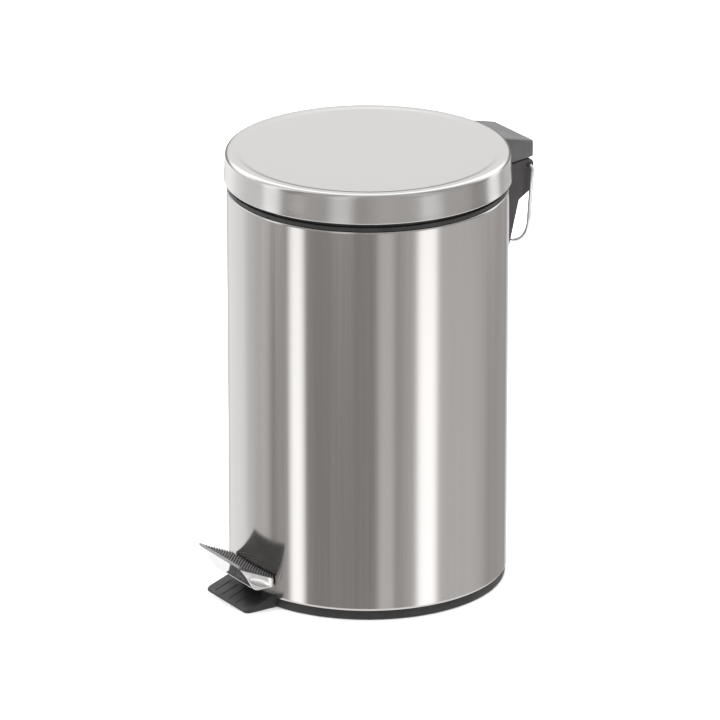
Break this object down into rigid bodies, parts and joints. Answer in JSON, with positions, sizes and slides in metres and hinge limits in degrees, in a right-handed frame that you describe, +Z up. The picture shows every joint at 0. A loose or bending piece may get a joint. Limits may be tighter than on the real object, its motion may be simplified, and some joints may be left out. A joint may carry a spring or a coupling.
{
  "type": "pedal trash can",
  "caption": "Round steel waste bin with a hinged lid opened by a foot pedal, a lift-out bucket inside and a wire handle at the back.",
  "frame": {"origin": "on the can's upright axis, on the floor under the base", "axes": "+Z up; -Y towards the foot pedal; +Y towards the lid's hinge; +X to the right seen from the pedal"},
  "size_m": [0.2552, 0.3138, 0.3986],
  "materials": {
    "brushed_body": "fine upright grain, satin",
    "polished_lid": "fine satin polish",
    "chrome_pedal": "mirror plated",
    "polished_wire": "bright drawn wire",
    "zinc_steel": "zinc plated, dull",
    "black_plastic": "moulded, fine texture",
    "grey_plastic": "moulded, satin",
    "tread_plastic": "moulded, ribbed, satin",
    "bucket_plastic": "moulded, satin"
  },
  "bodies": {
    "can": {"body_shell": "brushed_body", "base": "black_plastic", "top_rim": "black_plastic", "hinge_bracket": "grey_plastic", "backing_plate": "zinc_steel", "bracket_screw_upper_left": "zinc_steel", "bracket_screw_upper_right": "zinc_steel", "bracket_screw_lower_left": "zinc_steel", "bracket_screw_lower_right": "zinc_steel", "hinge_pin": "zinc_steel", "pivot_pin": "zinc_steel", "pivot_push_nut": "zinc_steel"},
    "lid": {"lid_shell": "polished_lid", "lid_ring": "black_plastic", "hinge_cover": "grey_plastic", "lid_screw_left": "zinc_steel", "lid_screw_right": "zinc_steel"},
    "pedal": {"pedal_scoop": "chrome_pedal", "pedal_tread": "tread_plastic", "pedal_lever": "zinc_steel", "pedal_rivet_left": "zinc_steel", "pedal_rivet_right": "zinc_steel"},
    "rod": {"push_rod": "zinc_steel", "rod_collar": "zinc_steel", "rod_lower_nut": "zinc_steel", "rod_upper_nut": "zinc_steel"},
    "bucket": {"inner_bucket": "bucket_plastic"},
    "bail": {"bucket_bail": "zinc_steel"},
    "handle": {"carry_handle": "polished_wire"}
  },
  "joints": [
    {"name": "lid_hinge", "type": "hinge", "parent": "can", "child": "lid", "pos_m": [0, 0.1502, 0.3649], "axis": [-1, 0, 0], "range_deg": [0, 80]},
    {"name": "pedal_pivot", "type": "hinge", "parent": "can", "child": "pedal", "pos_m": [0, -0.062, 0.0165], "axis": [1, 0, 0], "range_deg": [0, 7.8]},
    {"name": "rod_slide", "type": "slide", "parent": "can", "child": "rod", "axis": [0, 0, 1], "range_m": [0, 0.0245]},
    {"name": "bucket_lift", "type": "slide", "parent": "can", "child": "bucket", "axis": [0, 0, 1], "range_m": [0, 0.01]},
    {"name": "bail_fold", "type": "hinge", "parent": "bucket", "child": "bail", "pos_m": [0, 0, 0.3724], "axis": [-1, 0, 0], "range_deg": [0, 6]},
    {"name": "handle_swing", "type": "hinge", "parent": "can", "child": "handle", "pos_m": [0, 0.1502, 0.3649], "axis": [1, 0, 0], "range_deg": [-10, 110]}
  ],
  "couplings": [
    {"joint": "pedal_pivot", "follows": "lid_hinge", "ratio": 0.0971},
    {"joint": "rod_slide", "follows": "lid_hinge", "m_per_rad": 0.017494}
  ]
}
